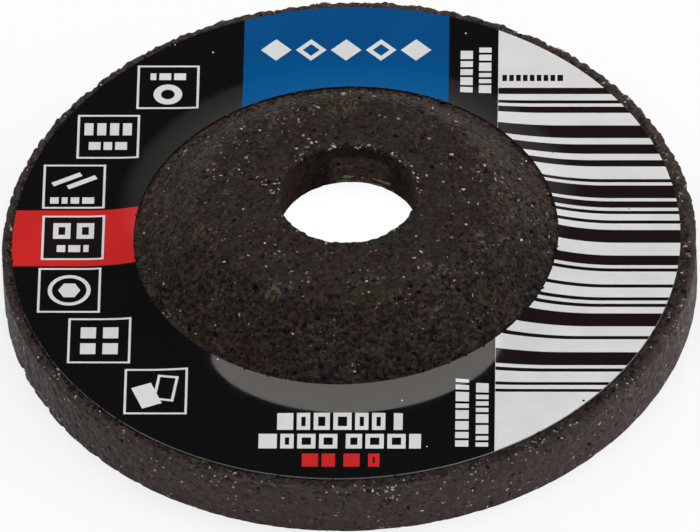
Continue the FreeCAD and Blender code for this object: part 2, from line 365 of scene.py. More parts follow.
    lumps = nodes.times(nodes.band(grain.outputs["Distance"], 0.0, 0.75, 1.0, 0.0), 0.6)
    raised = nodes.times(nodes.maths("ADD", lumps, nodes.times(gritty, 0.9)), coarse)
    height = nodes.maths("SUBTRACT", raised, nodes.times(deep, 1.2))
    nodes.link(nodes.bump(height, 0.9, 0.00016), shader.inputs["Normal"])
    return nodes.material


# Disc body

# the printed ring's size and place, here because the bare margin laps over its edge
label = {
    "outer": 24.05,
    "inner": 15.3,
    "shift": (-0.23, 0.30),
    "thickness": 0.12,
    "around": 288,
    "acrossFlat": 3,
    "acrossSweep": 14,
    "skew": -0.0135,
}

bodyShape = {
    "hubAround": 560,
    "rimAround": 1000,
    "arris": 5.1,  # radii in millimetres: the bore's upper edge
    "hubEdge": 15.55,  # where the hub's grain has faded out
    "join": 15.7,  # where the two pieces of the body meet, under the ring
    "margin": 23.4,  # where the finer faces of the margin begin
    "ringEdge": 23.8,
    "rimStart": 24.2,
    "rimWall": 24.5,
    "wave": 0.07,  # relief in millimetres, down to the last
    "grain": 0.13,
    "fine": 0.05,
    "pit": 0.22,
    "underRing": 0.06,
    "rimWave": 0.12,
    "rimChip": 0.16,
    "marginLift": 0.25,
    "edgeRound": 0.2,
    "footRound": 0.03,
    "boreKnobs": 0.05,
    "boreTeeth": 0.10,
    "borePit": 0.07,
}


def stretch(first, last, count, height):
    # points of a section from one radius up to another, without the last
    radii = [first + (last - first) * step / count for step in range(count)]
    return [(radius, height(radius)) for radius in radii]


def cornerArc(radius, height, size, start):
    # four points round an eased corner, going outwards and down
    points = []
    for step in range(4):
        angle = math.radians(start - 30 * step)
        points.append((radius + size * math.cos(angle), height + size * math.sin(angle)))
    return points


def seatHeight(radius):
    # the underside, just above the cloth
    return undersideHeight(radius) + disc["clothSeat"] * 0.6


def hubSection():
    # from the bore's lower edge over the hub to the sweep, and back under it
    bore, top, join = disc["bore"], disc["hubTop"], bodyShape["join"]
    low = disc["ceilingHeight"] + disc["clothSeat"] * 0.9
    points = [(bore, low + (top - 0.05 - low) * step / 31) for step in range(32)]
    points += stretch(bore + 0.05, 9.0, 34, topHeight)
    points += stretch(9.0, join, 62, topHeight)
    points += stretch(join, 14.2, 2, seatHeight)
    points += stretch(14.2, 8.4, 10, seatHeight)
    points += stretch(8.4, bore, 6, seatHeight)
    return points


def rimSection():
    # from the sweep over the rim, and back under it
    rim, wall, join = disc["rim"], disc["wall"], bodyShape["join"]
    ease, foot = bodyShape["edgeRound"], bodyShape["footRound"]
    points = stretch(join, bodyShape["margin"], 5, topHeight)
    points += stretch(bodyShape["margin"], rim - ease, 11, topHeight)
    points += cornerArc(rim - ease, wall - ease, ease, 90)
    points += [(rim, wall - ease - (wall - ease - foot) * step / 22) for step in range(1, 22)]
    points += cornerArc(rim - foot, foot, foot, 0)
    points.append((disc["clothRadius"] + 0.1, 0.0))
    points += stretch(disc["clothRadius"], join, 14, seatHeight)
    points.append((join, seatHeight(join)))
    return points


def held(value):
    # a value kept between 0 and 1
    return min(1.0, max(0.0, value))


def chance(place):
    # a steady number from 0 to 1 for a place
    return abs(math.sin(place.x * 12.9898 + place.y * 78.233 + place.z * 37.719) * 43758.5453) % 1.0


# the hollows' push comes from three plain noise calls; noise_vector differs from run to run
pushes = [Vector((9.3, 1.5, 8.2)), Vector((3.1, 7.7, 0.4)), Vector((6.3, 4.2, 2.7))]


def pitDepth(place, share):
    # hollows left by torn-out grains: 0 outside one, up to 1 at its middle
    push = Vector([noise.noise(place * 2.5 + shift) for shift in pushes])
    distances, centres = noise.voronoi(place + push * 0.2)
    if chance(centres[0]) > share:
        return 0.0
    reach = 0.14 + 0.14 * chance(centres[0] * 3.1)
    return max(0.0, 1.0 - (distances[0] / reach) ** 2)


def sinkage(place, radius):
    # how far the rough surface lies under the moulded one, in millimetres, and how hollow it is there
    slow = 0.5 + noise.noise(place * 0.55)
    distances, centres = noise.voronoi(place * 1.55)
    lumps = min(1.0, distances[0] * 1.5) ** 1.5 * (0.5 + 0.5 * chance(centres[0]))
    fine = 0.5 + noise.noise(place * 2.8 + Vector((1, 9, 2)))
    share = 0.30
    if 10.0 < radius < 15.4 and place.z > 3.0:
        share += 0.35 * max(0.0, -place.y / radius)
    if radius > 23.9:
        share = 0.16
    pit = pitDepth(place * 1.25, share)
    depth = bodyShape["wave"] * slow + bodyShape["grain"] * lumps + bodyShape["fine"] * fine
    return depth + bodyShape["pit"] * pit, pit


def rimSinkage(place):
    # the rim's outline wanders and is chipped where grains have broken away, on the left to its foot
    left = max(0.0, -place.x / disc["rim"]) ** 2
    foot = max(0.0, 1.0 - place.z / 2)
    stretched = Vector((place.x, place.y, place.z * 0.45))
    wander = max(0.0, noise.noise(stretched * 0.62 + Vector((4, 4, 4))))
    chips = max(0.0, noise.noise(stretched * 1.9 + Vector((8, 1, 3))) - 0.08) * (1 + 1.6 * left * foot)
    worn = min(1.0, 0.15 + left + 0.45 * place.z)
    return (bodyShape["rimWave"] * wander + bodyShape["rimChip"] * chips) * worn


def marginRise(place, radius):
    # grains outside the printed ring stand a little proud of it, and lap over its edge on the left
    across = place.x / radius
    edge = label["outer"] + (label["shift"][0] * place.x + label["shift"][1] * place.y) / radius
    ragged = noise.noise(place * 1.3 + Vector((7, 7, 1)))
    lap = 0.2 * ragged + 0.22 * max(0.0, -across) ** 2 - 0.06
    rise = held((radius - edge + lap) / 0.28)
    lift = bodyShape["marginLift"] * (0.62 + 0.8 * noise.noise(place * 2.3 + Vector((2, 2, 2))))
    return rise * (lift + 0.05 * (place.y - place.x) / radius)


def boreSinkage(place, pit):
    # the bore's wall is nearly true, with knobs and hollows, and teeth at its upper edge
    teeth = noise.noise(Vector((place.x, place.y, place.z * 0.5)) * 2.1 + Vector((3, 3, 3)))
    knobs = noise.noise(place * 2.6 + Vector((6, 2, 1)))
    near = held((place.z - disc["hubTop"] + 1.5) / 1.5)
    depth = bodyShape["boreKnobs"] * knobs + near * (bodyShape["boreTeeth"] * teeth - 0.04)
    return depth + bodyShape["borePit"] * pit


def roughen(vert, hollowLayer):
    # the new place of a vertex of the moulded shape, with a rule for each part of the disc
    place = vert.co.copy()
    radius = math.hypot(place.x, place.y)
    depth, pit = sinkage(place, radius)
    upward = vert.normal.z > 0.3
    if vert.normal.z < -0.5:  # underside and recess
        depth *= 0.25
        pit *= 0.5
    elif radius < disc["bore"] + 0.02:  # the bore's wall
        depth = boreSinkage(place, pit)
    elif upward and radius <= bodyShape["join"] + 0.01:  # hub and cone, calmer at both edges
        fade = held((bodyShape["hubEdge"] - radius) / 0.8)
        fade *= min(1.0, 0.08 + max(0.0, radius - bodyShape["arris"]) / 0.8)
        depth = 0.02 + (depth - 0.02) * fade
        pit *= fade
    elif upward and radius < bodyShape["margin"]:  # under the printed ring
        depth = bodyShape["underRing"]
    elif upward and place.z > 1.0:  # the bare margin
        most = bodyShape["underRing"] + max(0.0, radius - bodyShape["ringEdge"]) * 0.3
        depth = min(most, depth) - marginRise(place, radius)
    elif radius > bodyShape["rimWall"]:
        depth = 0.35 * max(0.0, depth - bodyShape["pit"] * pit - 0.09) + 0.2 * pit
    vert[hollowLayer] = pit
    move = vert.normal * depth
    if radius > bodyShape["rimStart"]:
        move += Vector((place.x, place.y, 0)) / radius * rimSinkage(place)
    return place - move


def boxed(place):
    # a place brought back to the disc's own reach and height
    inward = min(1.0, disc["rim"] / math.hypot(place.x, place.y))
    return (place.x * inward, place.y * inward, min(max(place.z, 0.0), disc["hubTop"]))


def makeBodyPart(name, section, around, material, node=None):
    bm = bmesh.new()
    verts = [bm.verts.new((radius, 0, height)) for radius, height in section]
    edges = [bm.edges.new(pair) for pair in zip(verts, verts[1:] + verts[:1])]
    bmesh.ops.spin(bm, geom=verts + edges, cent=(0, 0, 0), axis=(0, 0, 1), angle=2 * math.pi,
                   steps=around, use_merge=True, use_duplicate=False)
    bmesh.ops.remove_doubles(bm, verts=bm.verts, dist=0.0005)
    bmesh.ops.recalc_face_normals(bm, faces=bm.faces)
    bm.normal_update()
    # how hollow each vertex is, which the material paints near-black as painted shade
    hollowLayer = bm.verts.layers.float.new("hollow")
    places = [roughen(vert, hollowLayer) for vert in bm.verts]
    for vert, place in zip(bm.verts, places):
        vert.co = boxed(place)
    print(name, len(bm.faces), "faces")
    return finishPiece(bm, name, [material], node, smooth=True)


hubGrain = makeAbrasiveMaterial("bondedGrain", 0.10)
rimGrain = makeAbrasiveMaterial("rimGrain", 0.17)
hubBody = makeBodyPart("hubBody", hubSection(), bodyShape["hubAround"], hubGrain, "abrasive_disc")
rimBody = makeBodyPart("rimBody", rimSection(), bodyShape["rimAround"], rimGrain)


# Printed ring

inks = {
    "black": (0.0046, 0.0046, 0.0048, 1),
    "blue": (0.0035, 0.064, 0.205, 1),
    "red": (0.55, 0.0205, 0.0200, 1),
    "white": (0.64, 0.645, 0.63, 1),
    "paper": (0.40, 0.39, 0.36, 1),
    "barBlack": (0.0110, 0.0065, 0.0065, 1),
    # dark brown of the ring's inner edge faces: painted shade in the gap where the ring meets the hub
    "innerEdgeShade": (0.045, 0.030, 0.021, 1),
}

black, blue, red, white, paper, barBlack, innerEdgeShade = range(len(inks))  # in the order above

inkLook = {
    "blackGlint": (1.0, 0.93, 0.87, 1),
    "blueOnSweep": (0.001, 0.080, 0.245, 1),
    "blueGloss": 0.04,
}


def makeInk(name, colour):
    nodes = NodeTree(name + "Ink")
    shader = nodes.shader
    place = nodes.place()
    cloudy = nodes.band(nodes.noise(place, 0.25, 3), 0.3, 0.7, 0.95, 1.04)
    tint = nodes.mix(1.0, colour, cloudy, "MULTIPLY")
    if name == "blue":  # flatter, and a little clearer where it climbs to the hub
        climbing = nodes.band(nodes.axes(place)[1], 15.6, 20.5, 1.0, 0.0)
        tint = nodes.mix(climbing, tint, inkLook["blueOnSweep"])
        shader.inputs["Specular IOR Level"].default_value = inkLook["blueGloss"]
    if name == "black":
        shader.inputs["Specular Tint"].default_value = inkLook["blackGlint"]
    nodes.link(tint, shader.inputs["Base Color"])
    rough = nodes.band(nodes.noise(place, 0.6, 3), 0.3, 0.7, 0.035, 0.07)
    nodes.link(rough, shader.inputs["Roughness"])
    shader.inputs["IOR"].default_value = 1.5
    return nodes.material


def skewed(point):
    # the print sits a little askew on its ring
    return Vector((point[0] + label["skew"] * point[1], point[1], 0))


def printShape(bm, outline, ink):
    # cuts an outline with no inward corners, given anticlockwise, into the ring and inks it
    corners = [skewed(point) for point in outline]
    low = [min(corner[axis] for corner in corners) for axis in (0, 1)]
    high = [max(corner[axis] for corner in corners) for axis in (0, 1)]
    inside = []
    for face in bm.faces:
        xs = [vert.co.x for vert in face.verts]
        ys = [vert.co.y for vert in face.verts]
        if max(xs) > low[0] and min(xs) < high[0] and max(ys) > low[1] and min(ys) < high[1]:
            inside.append(face)
    for first, second in zip(corners, corners[1:] + corners[:1]):
        along = second - first
        outward = Vector((along.y, -along.x, 0)).normalized()
        geometry = set(inside)
        for face in inside:
            geometry.update(face.edges)
            geometry.update(face.verts)
        cut = bmesh.ops.bisect_plane(bm, geom=list(geometry), dist=1e-5, plane_co=first,
                                     plane_no=outward)
        inside = []
        for face in cut["geom"]:
            if isinstance(face, bmesh.types.BMFace):
                if (face.calc_center_median() - first).dot(outward) < 0:
                    inside.append(face)
    for face in inside:
        face.material_index = ink


def box(left, low, right, high):
    return [(left, low), (right, low), (right, high), (left, high)]


def wheel(centre, radius, sides=24, turn=0.0):
    return [(centre[0] + radius * math.cos(turn + 2 * math.pi * side / sides),
             centre[1] + radius * math.sin(turn + 2 * math.pi * side / sides)) for side in range(sides)]


def slab(centre, along, width, length):
    # a straight stroke through a centre at an angle in degrees
    turn = math.radians(along)
    ahead = Vector((math.cos(turn), math.sin(turn))) * length / 2
    aside = Vector((-math.sin(turn), math.cos(turn))) * width / 2
    middle = Vector(centre)
    return [tuple(middle - ahead - aside), tuple(middle + ahead - aside),
            tuple(middle + ahead + aside), tuple(middle - ahead + aside)]


def dashes(bm, rows, ink, seed, gap=0.22, sizes=(0.42, 0.62, 0.86)):
    # rows of plain dashes where small print would be: (left, low, right, high)
    draw = random.Random(seed)
    for left, low, right, high in rows:
        sideways = right - left > high - low
        at, last = (left, right) if sideways else (low, high)
        while at < last - 0.2:
            end = min(at + draw.choice(sizes), last)
            outline = box(at, low, end, high) if sideways else box(left, at, right, end)
            printShape(bm, outline, ink)
            at = end + gap


panels = {
    "outside": 26.0,  # beyond the ring's edge
    "blueLeft": -7.95,
    "blueRight": 7.0,
    "lozengeStart": (-5.6, 19.85),
    "lozengeStep": 2.55,
    "lozenge": 1.12,
    "lozengeEye": 0.62,
    "whiteLeft": 10.6,
    "barTop": 15.9,
    "barModule": 0.326,
    "barModules": 95.3,
    "barSeed": 41,
    "redTop": 3.2,
    "redLow": -2.5,
    "redRight": -15.25,
    "frame": 4.52,
    "frameLine": 0.17,
    "lineSeed": 23,
}


def printPanels(bm):
    outside = panels["outside"]
    printShape(bm, box(panels["blueLeft"], 0, panels["blueRight"], outside), blue)
    printShape(bm, box(panels["whiteLeft"], -outside, outside, outside), white)
    printShape(bm, box(-outside, panels["redLow"], panels["redRight"], panels["redTop"]), red)
    x, y = panels["lozengeStart"]
    for step in range(5):  # plain lozenges along the blue panel, every second one open
        middle = (x + panels["lozengeStep"] * step, y)
        printShape(bm, wheel(middle, panels["lozenge"], 4), white)
        if step % 2:
            printShape(bm, wheel(middle, panels["lozengeEye"], 4), blue)


def printBars(bm):
    # upright rule of bars, with widths drawn by chance, counted in modules from the top
    draw = random.Random(panels["barSeed"])
    module, modules = panels["barModule"], panels["barModules"]
    at = 0
    bars = []
    while at < modules - 6:
        bars.append((at, draw.choice((1, 1, 1, 2, 3, 4))))
        at += bars[-1][1] + draw.choice((1, 1, 2, 3, 4))
    bars += [(modules - 3.1, 0.9), (modules - 1.0, 0.9)]
    for at, bar in bars:
        top = panels["barTop"] - at * module
        outline = box(panels["whiteLeft"] + 0.02, top - bar * module, panels["outside"], top)
        printShape(bm, outline, barBlack)


def frameBox(bm, centre):
    half = panels["frame"] / 2
    inner = half - panels["frameLine"]
    x, y = centre
    printShape(bm, box(x - half, y - half, x + half, y + half), white)
    return box(x - inner, y - inner, x + inner, y + inner)


def printFrames(bm):
    # seven framed fields down the left side, each with a plain figure
    centres = [(-13.4, 15.95), (-17.62, 10.8), (-19.96, 5.65), (-19.9, 0.4), (-20.03, -4.95),
               (-17.74, -10.05), (-13.58, -15.15)]
    for number, (x, y) in enumerate(centres):
        ground = barBlack if number == 3 else black
        printShape(bm, frameBox(bm, (x, y)), ground)
        if number == 0:
            dashes(bm, [(x - 1.3, y + 0.75, x + 1.3, y + 1.45)], white, 3)
            printShape(bm, wheel((x, y - 0.75), 1.05), white)
            printShape(bm, wheel((x, y - 0.75), 0.5), ground)
        elif number == 1:
            for step in range(4):
                along = step * 0.93
                printShape(bm, box(x - 1.75 + along, y + 0.15, x - 1.1 + along, y + 1.4), white)
            dashes(bm, [(x - 1.4, y - 1.35, x + 1.4, y - 0.55)], white, 5)
        elif number == 2:
            printShape(bm, slab((x - 0.55, y + 0.75), 28, 0.42, 2.3), white)
            printShape(bm, slab((x + 0.55, y + 0.45), 28, 0.42, 2.3), white)
            dashes(bm, [(x - 1.7, y - 1.75, x + 1.7, y - 1.1)], white, 7)
        elif number == 3:
            for step in (-0.95, 0.75):
                printShape(bm, box(x + step - 0.5, y - 0.1, x + step + 0.75, y + 1.5), white)
                printShape(bm, box(x + step - 0.12, y + 0.3, x + step + 0.37, y + 1.1), ground)
            dashes(bm, [(x - 1.15, y - 1.45, x + 1.15, y - 0.75)], white, 9)
        elif number == 4:
            printShape(bm, wheel((x, y), 1.55), white)
            printShape(bm, wheel((x, y), 1.25), ground)
            printShape(bm, wheel((x, y), 0.8, 6), white)
        elif number == 5:
            for across in (x - 0.8, x + 0.8):
                for up in (y - 0.8, y + 0.8):
                    printShape(bm, box(across - 0.55, up - 0.55, across + 0.55, up + 0.55), white)
        else:
            printShape(bm, slab((x + 0.7, y + 0.35), 82, 1.5, 2.5), white)
            printShape(bm, slab((x + 0.7, y + 0.35), 82, 1.1, 2.1), ground)
            printShape(bm, slab((x - 0.65, y - 0.4), 112, 1.5, 2.2), white)


def printLines(bm):
    # plain marks where the lines of large and small print would be: (left, low, right, high, ink)
    draw = random.Random(panels["lineSeed"])
    for left, low, right, high, ink in ((-4.87, -18.95, 4.06, -17.35, white),
                                        (-6.16, -20.8, 5.38, -19.35, white),
                                        (-3.05, -22.6, 2.45, -21.3, red)):
        at = left
        while at < right - 0.6:
            width = min(draw.choice((0.95, 1.15, 1.3)), right - at)
            hollow = draw.random() < 0.6
            printShape(bm, box(at, low, at + width, high), ink)
            if hollow and width > 0.8:
                printShape(bm, box(at + 0.32, low + 0.36, at + width - 0.32, high - 0.36), black)
            at += width + draw.choice((0.25, 0.25, 0.6))
    dashes(bm, [(7.85, 15.3, 8.75, 20.1), (9.2, 15.3, 10.1, 20.1)], white, 11)
    dashes(bm, [(7.8, -20.6, 8.75, -14.1), (9.25, -20.6, 10.15, -14.1)], white, 13)
    dashes(bm, [(10.9, 16.6, 15.5, 17.25)], barBlack, 15, gap=0.16, sizes=(0.34, 0.42))


def printSpecks(bm):
    # small scuffs and dust marks in the print
    spots = ((-10.2, 19.6, 0.08, white), (-13.0, 20.4, 0.05, white), (16.9, -16.0, 0.1, barBlack),
             (4.0, -16.2, 0.06, white), (5.8, -20.6, 0.06, white), (8.2, 21.6, 0.07, white),
             (14.6, 9.0, 0.05, barBlack), (20.1, 3.4, 0.06, barBlack), (-9.2, -12.4, 0.06, white))
    for x, y, size, ink in spots:
        printShape(bm, wheel((x, y), size, 6), ink)


def makeLabel():
    bm = bmesh.new()
    shiftX, shiftY = label["shift"]
    radii = []
    sweepEdge = disc["sweepStart"]
    for step in range(label["acrossSweep"] + 1):
        radii.append(label["inner"] + (sweepEdge - label["inner"]) * step / label["acrossSweep"])
    for step in range(1, label["acrossFlat"] + 1):
        radii.append(sweepEdge + (label["outer"] - sweepEdge) * step / label["acrossFlat"])
    verts = [bm.verts.new((radius, 0, 0)) for radius in radii]
    edges = [bm.edges.new(pair) for pair in zip(verts, verts[1:])]
    bmesh.ops.spin(bm, geom=verts + edges, cent=(0, 0, 0), axis=(0, 0, 1), angle=2 * math.pi,
                   steps=label["around"], use_merge=True, use_duplicate=False)
    bmesh.ops.remove_doubles(bm, verts=bm.verts, dist=0.0005)
    bmesh.ops.translate(bm, vec=(shiftX, shiftY, 0), verts=bm.verts)
    bmesh.ops.recalc_face_normals(bm, faces=bm.faces)
    if sum(face.normal.z for face in bm.faces) < 0:
        bmesh.ops.reverse_faces(bm, faces=bm.faces)
    printPanels(bm)
    printBars(bm)
    printFrames(bm)
    printLines(bm)
    printSpecks(bm)
    print("print cut", len(bm.faces), "faces")
    for vert in bm.verts:
        vert.co.z = topHeight(math.hypot(vert.co.x, vert.co.y))
    back = bm.faces[:]
    made = bmesh.ops.extrude_face_region(bm, geom=back, use_keep_orig=True)["geom"]
    front = [item for item in made if isinstance(item, bmesh.types.BMFace)]
    raised = [item for item in made if isinstance(item, bmesh.types.BMVert)]
    bmesh.ops.translate(bm, vec=(0, 0, label["thickness"]), verts=raised)
    bmesh.ops.recalc_face_normals(bm, faces=bm.faces)
    shown = set(front)
    for face in bm.faces:
        face.smooth = face in shown
        # edge faces: pale paper at the outer edge, painted shade in dark brown at the inner edge
        if face not in shown:
            outer = face.calc_center_median().length > disc["sweepStart"]
            face.material_index = paper if outer else innerEdgeShade
    materials = [makeInk(name, colour) for name, colour in inks.items()]
    piece = finishPiece(bm, "printedRing", materials, "label")
    normals = []
    for polygon in piece.data.polygons:
        for corner in polygon.vertices:
            place = piece.data.vertices[corner].co / mm
            normals.append(sweepNormal(place) if polygon.use_smooth else polygon.normal.copy())
    piece.data.normals_split_custom_set(normals)


def sweepNormal(place):
    # the label's face follows the disc's sweep, so its gloss runs evenly across the cuts
    radius = math.hypot(place.x, place.y)
    reach = disc["sweepStart"] - radius
    if reach <= 0:
        return Vector((0, 0, 1))
    lean = min(reach / disc["sweepRadius"], 0.3)
    outward = Vector((place.x, place.y, 0)) / radius
    return outward * lean + Vector((0, 0, math.sqrt(1 - lean ** 2)))


makeLabel()
print("printed ring done")


# Glass cloth

cloth = {
    "pitch": 4.5,
    "shift": (-0.1, -1.9),
    "yarnWidth": 0.52,
    "yarnThickness": 0.13,
    "pairGap": 0.06,
    "swing": 0.03,
    "sides": 8,
    "step": 0.75,
    "outer": 24.0,
    "outerGap": 0.8,  # the last yarns lie this far inside the cloth's edge, or more
    "boreGap": 0.5,
    "lift": 0.035,
    "pale": (0.47, 0.46, 0.35, 1),
    "shade": (0.23, 0.225, 0.15, 1),
    "resin": (0.05, 0.043, 0.034, 1),
}


def makeYarnMaterial(name, alongX):
    nodes = NodeTree(name)
    drawnOut = nodes.place((120, 1000, 1000) if alongX else (1000, 120, 1000))
    strands = nodes.noise(drawnOut, 9.0, 2, 0.6)
    thread = nodes.mix(nodes.band(strands, 0.35, 0.65), cloth["shade"], cloth["pale"])
    wet = nodes.band(nodes.noise(nodes.place(), 0.5, 4, 0.6), 0.44, 0.62)
    colour = nodes.mix(nodes.times(wet, 0.85), thread, cloth["resin"])
    nodes.link(colour, nodes.shader.inputs["Base Color"])
    nodes.link(nodes.band(wet, 0, 1, 0.5, 0.32), nodes.shader.inputs["Roughness"])
    nodes.link(nodes.bump(strands, 0.6, 0.00008), nodes.shader.inputs["Normal"])
    return nodes.material


def addYarn(bm, alongX, offset, first, last, lap):
    # one flattened yarn laid along the underside from first to last
    count = max(3, int((last - first) / cloth["step"]))
    profile = bmesh.ops.create_circle(bm, cap_ends=True, segments=cloth["sides"], radius=1.0)["verts"]
    outline = [(vert.co.x, vert.co.y) for vert in profile]
    faces = list({face for vert in profile for face in vert.link_faces})
    rings = [profile]
    for _ in range(count):
        made = bmesh.ops.extrude_face_region(bm, geom=faces)["geom"]
        stale = faces
        faces = [item for item in made if isinstance(item, bmesh.types.BMFace)]
        if len(rings) > 1:
            bmesh.ops.delete(bm, geom=stale, context="FACES_ONLY")
        rings.append([item for item in made if isinstance(item, bmesh.types.BMVert)])
    near = 0.2
    for number, ring in enumerate(rings):
        along = first + (last - first) * number / count
        x, y = (along, offset) if alongX else (offset, along)
        radius = math.hypot(x, y)
        swing = cloth["swing"] * math.sin(math.pi * (along - lap) / cloth["pitch"])
        slope = (undersideHeight(radius + near) - undersideHeight(radius - near)) / (2 * near)
        height = undersideHeight(radius) + cloth["yarnThickness"] / 2 + cloth["lift"]
        height += swing if alongX else -swing
        for vert in ring:
            sideways = vert.co.x * cloth["yarnWidth"] / 2
            up = vert.co.y * cloth["yarnThickness"] / 2
            spot = (x, y + sideways) if alongX else (x + sideways, y)
            tilt = (math.hypot(*spot) - radius) * slope
            vert.co = Vector((spot[0], spot[1], height + up + tilt))


def makeCloth():
    bm = bmesh.new()
    pitch = cloth["pitch"]
    half = (cloth["yarnWidth"] + cloth["pairGap"]) / 2
    warpFaces = 0
    for alongX in (False, True):
        shift = cloth["shift"][1 if alongX else 0]
        lap = cloth["shift"][0 if alongX else 1]
        for number in range(-6, 6):
            middle = shift + (number + 0.5) * pitch
            for offset in (middle - half, middle + half):
                if abs(offset) > cloth["outer"] - cloth["outerGap"]:
                    continue
                reach = math.sqrt(cloth["outer"] ** 2 - offset ** 2)
                hole = disc["bore"] + cloth["boreGap"]
                if abs(offset) < hole:
                    edge = math.sqrt(hole ** 2 - offset ** 2)
                    runs = ((-reach, -edge), (edge, reach))
                else:
                    runs = ((-reach, reach),)
                for first, last in runs:
                    addYarn(bm, alongX, offset, first, last, lap + number % 2 * pitch)
        if not alongX:
            warpFaces = len(bm.faces)
    bm.faces.ensure_lookup_table()
    for face in bm.faces[warpFaces:]:
        face.material_index = 1
    for vert in bm.verts:
        radius = math.hypot(vert.co.x, vert.co.y)
        if radius < disc["bore"]:
            vert.co.x *= disc["bore"] / radius
            vert.co.y *= disc["bore"] / radius
        vert.co.z = max(vert.co.z, 0.0)
    bmesh.ops.recalc_face_normals(bm, faces=bm.faces)
    print("cloth", len(bm.faces), "faces")
    materials = [makeYarnMaterial("warpYarn", False), makeYarnMaterial("weftYarn", True)]
    finishPiece(bm, "glassCloth", materials, "glass_cloth", smooth=True)


makeCloth()


# Cut thread ends in the bore's wall, from the cloth moulded in over the recess

cutEnds = {
    "rows": ((5.86, 57, 76, 0), (5.80, 80, 97, 0), (5.42, 52, 104, 1), (5.82, 200, 330, 0)),
    "yarns": (("cutYarn", (0.11, 0.095, 0.065, 1), (0.42, 0.39, 0.29, 1)),
              ("soakedYarn", (0.045, 0.042, 0.022, 1), (0.16, 0.155, 0.085, 1))),
    "spacing": 0.30,
    "width": 0.36,
    "thickness": 0.18,
    "depth": 0.16,
    "stand": 0.06,
    "bevel": 0.03,
    "seed": 5,
}


def makeCutEnds():
    # rows of short ends: height in millimetres, first and last angle in degrees, which yarn
    draw = random.Random(cutEnds["seed"])
    bm = bmesh.new()
    turn = math.degrees(cutEnds["spacing"] / disc["bore"])
    middle = disc["bore"] + cutEnds["depth"] / 2 - cutEnds["stand"]
    for height, first, last, yarn in cutEnds["rows"]:
        angle = first
        while angle < last:
            width = cutEnds["width"] * draw.uniform(0.5, 1.2)
            thickness = cutEnds["thickness"] * draw.uniform(0.6, 1.2)
            made = bmesh.ops.create_cube(bm, size=1.0)["verts"]
            bmesh.ops.scale(bm, vec=(cutEnds["depth"], width, thickness), verts=made)
            bmesh.ops.translate(bm, vec=(middle, 0, height + draw.uniform(-0.05, 0.05)), verts=made)
            around = Matrix.Rotation(math.radians(angle), 3, "Z")
            bmesh.ops.rotate(bm, verts=made, cent=(0, 0, 0), matrix=around)
            for face in {face for vert in made for face in vert.link_faces}:
                face.material_index = yarn
            angle += turn * draw.choice((0.8, 1.0, 1.3, 2.4))
    bmesh.ops.bevel(bm, geom=bm.edges[:], offset=cutEnds["bevel"], segments=2, affect="EDGES",
                    profile=0.5, material=-1)
    materials = []
    for name, dark, pale in cutEnds["yarns"]:
        nodes = NodeTree(name)
        strands = nodes.band(nodes.noise(nodes.place(), 9.0, 2, 0.7), 0.38, 0.62)
        nodes.link(nodes.mix(strands, dark, pale), nodes.shader.inputs["Base Color"])
        nodes.shader.inputs["Roughness"].default_value = 0.6
        materials.append(nodes.material)
    print("cut ends", len(bm.faces), "faces")
    finishPiece(bm, "cutEnds", materials)


makeCutEnds()


# Crystals that show at the surface, and crumbs of grain along the printed ring's edges

crystals = {
    "count": 1500,
    "small": 0.045,
    "large": 0.17,
    "fewLarge": 2.2,  # the higher, the fewer are large
    "sunk": 0.25,
    "covered": (15.2, 24.1),  # radii between which the printed ring hides the grain
    "seed": 7,
    "kinds": (0, 1, 1, 2, 2, 3, 3),  # how often each of the colours below is drawn
    "colours": {
        "clearCrystal": (0.47, 0.44, 0.41, 1),
        "greyCrystal": (0.25, 0.23, 0.215, 1),
        "creamCrystal": (0.35, 0.295, 0.235, 1),
        "roseCrystal": (0.31, 0.225, 0.20, 1),
    },
}

crumbs = {
    "outside": 270,
    "inside": 110,
    "small": 0.06,
    "large": 0.17,
    "leftShare": 0.8,
    "left": (178, 30),  # middle and spread of the left side, in degrees
    "seed": 19,
}


def makeCrystalMaterial(name, colour):
    nodes = NodeTree(name)
    place = nodes.place()
    cloudy = nodes.band(nodes.noise(place, 4.0, 2), 0.3, 0.7, 0.6, 1.2)
    nodes.link(nodes.mix(1.0, colour, cloudy, "MULTIPLY"), nodes.shader.inputs["Base Color"])
    nodes.shader.inputs["Roughness"].default_value = 0.25
    nodes.shader.inputs["IOR"].default_value = 1.7
    return nodes.material


def crystalSpots():
    # places on the bare grain, gathered in patches and along the bore's upper edge
    draw = random.Random(crystals["seed"])
    inner, outer = crystals["covered"]
    spots = []
    while len(spots) < crystals["count"]:
        mesh = draw.choice((hubBody.data, rimBody.data, rimBody.data))
        vert = mesh.vertices[draw.randrange(len(mesh.vertices))]
        place = vert.co / mm
        radius = math.hypot(place.x, place.y)
        inBore = radius < bodyShape["arris"] and place.z < 8.7
        if inBore or inner < radius < outer or vert.normal.z < -0.3:
            continue
        gathered = 0.2 + 2.0 * max(0.0, noise.noise(place * 0.4 + Vector((5, 2, 8))))
        thick = gathered * min(1.0, radius / 15.0)
        atArris = 4.9 < radius < 5.6 and place.z > 8.6 and place.y > 0
        if draw.random() < (1.0 if atArris else thick):
            spots.append((place, vert.normal.copy()))
    return spots


def addPebble(bm, draw, place, size, material):
    # one lopsided pebble, turned by chance
    axis = Vector((draw.uniform(-1, 1), draw.uniform(-1, 1), draw.uniform(-1, 1))).normalized()
    turn = Matrix.Rotation(draw.uniform(0, 6.28), 4, axis)
    squeeze = Matrix.Diagonal((draw.uniform(1.0, 1.6), draw.uniform(0.6, 1.0), draw.uniform(0.4, 0.7), 1))
    made = bmesh.ops.create_icosphere(bm, subdivisions=1, radius=size,
                                      matrix=Matrix.Translation(place) @ turn @ squeeze)["verts"]
    for vert in made:
        vert.co = boxed(vert.co)
        for face in vert.link_faces:
            face.material_index = material


